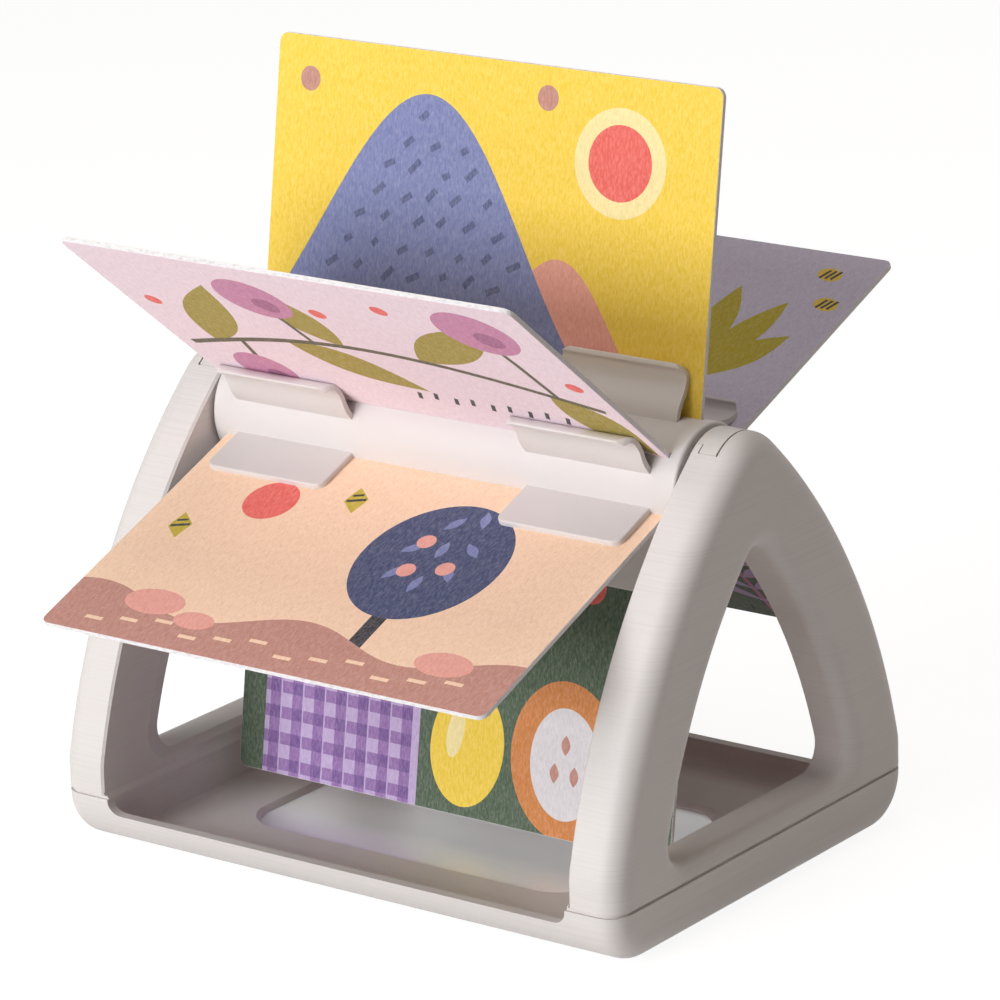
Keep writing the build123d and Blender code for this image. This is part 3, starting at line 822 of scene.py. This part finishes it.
def screw_tree(material):
    """Geometry nodes: four screws, heads down, at a grid's corners, with a cross recess in each head."""
    tree = bpy.data.node_groups.new("cross_screws", "GeometryNodeTree")
    tree.interface.new_socket("Geometry", in_out="OUTPUT", socket_type="NodeSocketGeometry")
    sizes = (
        "Spacing X", "Spacing Y", "Head Radius", "Head Height", "Shank Radius", "Shank Length",
        "Recess Length", "Recess Width", "Recess Depth",
    )
    for size in sizes:
        tree.interface.new_socket(size, in_out="INPUT", socket_type="NodeSocketFloat")
    given = add(tree, "NodeGroupInput").outputs
    grid = add(
        tree, "GeometryNodeMeshGrid",
        {"Size X": given["Spacing X"], "Size Y": given["Spacing Y"], "Vertices X": 2, "Vertices Y": 2},
    )
    head = add(
        tree, "GeometryNodeMeshCylinder",
        {"Vertices": 40, "Radius": given["Head Radius"], "Depth": given["Head Height"]},
    )
    head_middle = add(tree, "ShaderNodeMath", {0: given["Head Height"], 1: 0.5}, operation="MULTIPLY")
    blank = lifted(tree, head.outputs[0], head_middle.outputs[0])
    sunk = add(tree, "GeometryNodeMeshBoolean", {"Mesh 1": blank}, operation="DIFFERENCE")
    deep = add(tree, "ShaderNodeMath", {0: given["Recess Depth"], 1: 2.0}, operation="MULTIPLY")
    for x, y in (("Recess Length", "Recess Width"), ("Recess Width", "Recess Length")):
        size = add(tree, "ShaderNodeCombineXYZ", {"X": given[x], "Y": given[y], "Z": deep.outputs[0]})
        groove = add(tree, "GeometryNodeMeshCube", {"Size": size.outputs[0]})
        tree.links.new(groove.outputs[0], sunk.inputs["Mesh 2"])
    shank = add(
        tree, "GeometryNodeMeshCylinder",
        {"Vertices": 24, "Radius": given["Shank Radius"], "Depth": given["Shank Length"]},
    )
    shank_middle = add(
        tree, "ShaderNodeMath",
        {0: given["Shank Length"], 1: 0.5, 2: given["Head Height"]}, operation="MULTIPLY_ADD",
    )
    screw = add(tree, "GeometryNodeJoinGeometry")
    tree.links.new(sunk.outputs[0], screw.inputs[0])
    tree.links.new(lifted(tree, shank.outputs[0], shank_middle.outputs[0]), screw.inputs[0])
    placed = add(
        tree, "GeometryNodeInstanceOnPoints", {"Points": grid.outputs[0], "Instance": screw.outputs[0]}
    )
    real = add(tree, "GeometryNodeRealizeInstances", {"Geometry": placed.outputs[0]})
    coated = add(tree, "GeometryNodeSetMaterial", {"Geometry": real.outputs[0], "Material": material})
    add(tree, "NodeGroupOutput", {"Geometry": coated.outputs[0]})
    return tree


class BOOK_OT_fit_screws(bpy.types.Operator):
    """Fit the cover's screws, with a cross recess in each head"""

    bl_idname = "card_book.fit_screws"
    bl_label = "Fit the cover's screws"

    def execute(self, context):
        look = context.scene.card_book_stand
        material = zinc_plate(look)
        dress(("frame_screws", "cover_screws"), material)
        low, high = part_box("cover_screws")
        sizes = {
            "Spacing X": high.x - low.x - 2 * look.head_radius,
            "Spacing Y": high.y - low.y - 2 * look.head_radius,
            "Head Radius": look.head_radius,
            "Head Height": look.head_height,
            "Shank Radius": look.shank_radius,
            "Shank Length": high.z - low.z - look.head_height,
            "Recess Length": look.recess_length,
            "Recess Width": look.recess_width,
            "Recess Depth": look.recess_depth,
        }
        tree = screw_tree(material)
        maker = bpy.data.objects.new("cover_screw_maker", bpy.data.meshes.new("cover_screw_maker"))
        context.scene.collection.objects.link(maker)
        modifier = maker.modifiers.new("cross_screws", "NODES")
        modifier.node_group = tree
        for item in tree.interface.items_tree:
            if item.in_out == "INPUT":
                modifier[item.identifier] = sizes[item.name]
        made = bpy.data.meshes.new_from_object(maker.evaluated_get(context.evaluated_depsgraph_get()))
        maker.modifiers.clear()
        bpy.data.objects.remove(maker)
        if not made.polygons:
            raise RuntimeError("the cover's screws came out empty")
        made.name = "cover_screws_crossed"
        piece = bpy.data.objects.new("cover_screws_crossed", made)
        context.scene.collection.objects.link(piece)
        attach(piece, STAND)
        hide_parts("cover_screws")
        return {"FINISHED"}


class BOOK_OT_print_cards(bpy.types.Operator):
    """Finish the boards and lay a printed sheet on both faces of each card"""

    bl_idname = "card_book.print_cards"
    bl_label = "Print the cards"

    def execute(self, context):
        look, inks = context.scene.card_book_cards, context.scene.card_book_inks
        dress([f"page_card_{i + 1}" for i in range(len(PICTURES))], pulp_board(look))
        felt = printed_felt(look)
        for card, faces in enumerate(PICTURES):
            for side, picture in zip(("leading", "trailing"), faces):
                name = f"picture_sheet_{card + 1}_{side}"
                piece = picture_sheet(name, card, side == "leading", picture(), look, inks)
                piece.data.materials.append(felt)
                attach(piece, WHEEL)
        return {"FINISHED"}


def lamp(name, place, size, watts, tint):
    """Large soft lamp, turned to the middle of the object."""
    data = bpy.data.lights.new(name, "AREA")
    data.shape = "RECTANGLE"
    data.size, data.size_y = size
    data.energy = watts
    data.color = tint
    made = bpy.data.objects.new(name, data)
    made.location = place
    made.rotation_mode = "QUATERNION"
    made.rotation_quaternion = (LAMP_AIM - Vector(place)).to_track_quat("-Z", "Y")
    bpy.context.scene.collection.objects.link(made)


class BOOK_OT_set_stage(bpy.types.Operator):
    """Set the floor, the lamps, the room and the camera"""

    bl_idname = "card_book.set_stage"
    bl_label = "Set the stage"

    def execute(self, context):
        scene, look = context.scene, context.scene.card_book_stage
        scene.view_settings.view_transform = "Standard"
        self.lay_floor(scene, look)
        self.light_room(scene, look)
        for name, (place, size, tint) in LAMPS.items():
            lamp(f"{name}_lamp", place, size, getattr(look, f"{name}_power"), tint)
        self.set_camera(scene, look)
        return {"FINISHED"}

    def lay_floor(self, scene, look):
        """Pale matt floor that shows white to the camera and keeps a soft shadow."""
        material, tree = new_material("pale_matt_floor")
        place = add(tree, "ShaderNodeTexCoord").outputs["Object"]
        speck = mottle(tree, place, (3 * MM,) * 3)
        darker = tuple(c * 0.99 for c in look.floor)
        tint = add(tree, "ShaderNodeValToRGB", {"Fac": speck}, stops=((0.3, darker), (0.7, look.floor)))
        matt = add(tree, "ShaderNodeBsdfPrincipled", {"Base Color": tint.outputs[0], "Roughness": 0.9})
        white = add(tree, "ShaderNodeEmission", {"Color": rgba(WHITE), "Strength": look.floor_white})
        path = add(tree, "ShaderNodeLightPath").outputs
        seen = add(
            tree, "ShaderNodeMath",
            {0: path["Is Camera Ray"], 1: path["Is Glossy Ray"]}, operation="MAXIMUM",
        )
        share = add(tree, "ShaderNodeMath", {0: seen.outputs[0], 1: look.floor_share}, operation="MULTIPLY")
        surface = add(
            tree, "ShaderNodeMixShader", {0: share.outputs[0], 1: matt.outputs[0], 2: white.outputs[0]}
        )
        finish_material(material, surface)
        build = bmesh.new()
        bmesh.ops.create_grid(build, x_segments=8, y_segments=8, size=look.floor_half)
        mesh = bpy.data.meshes.new("floor")
        build.to_mesh(mesh)
        build.free()
        mesh.materials.append(material)
        floor = bpy.data.objects.new("floor", mesh)
        scene.collection.objects.link(floor)

    def light_room(self, scene, look):
        """Even room light; the camera, metal and glass see plain white."""
        world = bpy.data.worlds.new("white_room")
        world.use_nodes = True
        tree = world.node_tree
        tree.nodes.clear()
        path = add(tree, "ShaderNodeLightPath").outputs
        seen = add(
            tree, "ShaderNodeMath",
            {0: path["Is Camera Ray"], 1: path["Is Glossy Ray"]}, operation="MAXIMUM",
        )
        shown = add(
            tree, "ShaderNodeMath",
            {0: seen.outputs[0], 1: path["Is Transmission Ray"]}, operation="MAXIMUM",
        )
        room = add(tree, "ShaderNodeBackground", {"Color": rgba(ROOM_TINT), "Strength": look.room_strength})
        white = add(tree, "ShaderNodeBackground", {"Color": rgba(WHITE), "Strength": 1.0})
        mixed = add(
            tree, "ShaderNodeMixShader", {0: shown.outputs[0], 1: room.outputs[0], 2: white.outputs[0]}
        )
        add(tree, "ShaderNodeOutputWorld", {"Surface": mixed.outputs[0]})
        scene.world = world

    def set_camera(self, scene, look):
        """Camera at the photograph's angle."""
        data = bpy.data.cameras.new("camera")
        data.lens = look.lens
        data.sensor_width = look.sensor
        data.clip_start, data.clip_end = look.near, look.far
        made = bpy.data.objects.new("camera", data)
        eye, aim = Vector(look.eye), Vector(look.aim)
        ahead = (aim - eye).normalized()
        right = ahead.cross(Vector((0, 0, 1))).normalized()
        up = right.cross(ahead)
        c, s = math.cos(look.roll), math.sin(look.roll)
        across, upward = right * c + up * s, up * c - right * s
        turn = made.matrix_world.to_3x3()
        turn.col[0], turn.col[1], turn.col[2] = across, upward, -ahead
        made.matrix_world = turn.to_4x4()
        made.location = eye
        scene.collection.objects.link(made)
        scene.camera = made


class BOOK_PT_card_book(bpy.types.Panel):
    """Steps that dress the card book"""

    bl_idname = "BOOK_PT_card_book"
    bl_label = "Card book"
    bl_space_type = "VIEW_3D"
    bl_region_type = "UI"
    bl_category = "Card book"

    def draw(self, context):
        for step in OPERATORS:
            self.layout.operator(step.bl_idname)


GROUPS = {
    "card_book_stand": StandLook,
    "card_book_cards": CardLook,
    "card_book_inks": PrintColours,
    "card_book_stage": StageLook,
}
OPERATORS = (
    BOOK_OT_dress_stand,
    BOOK_OT_dress_drum,
    BOOK_OT_dress_mirror,
    BOOK_OT_fit_screws,
    BOOK_OT_print_cards,
    BOOK_OT_set_stage,
)


def register():
    for name, group in GROUPS.items():
        bpy.utils.register_class(group)
        setattr(bpy.types.Scene, name, bpy.props.PointerProperty(type=group))
    for kind in (*OPERATORS, BOOK_PT_card_book):
        bpy.utils.register_class(kind)


def unregister():
    for kind in (BOOK_PT_card_book, *reversed(OPERATORS)):
        bpy.utils.unregister_class(kind)
    for name, group in reversed(GROUPS.items()):
        delattr(bpy.types.Scene, name)
        bpy.utils.unregister_class(group)


def main():
    register()
    bpy.ops.card_book.dress_stand()
    bpy.ops.card_book.dress_drum()
    bpy.ops.card_book.dress_mirror()
    bpy.ops.card_book.fit_screws()
    bpy.ops.card_book.print_cards()
    bpy.ops.card_book.set_stage()


if __name__ == "__main__":
    main()
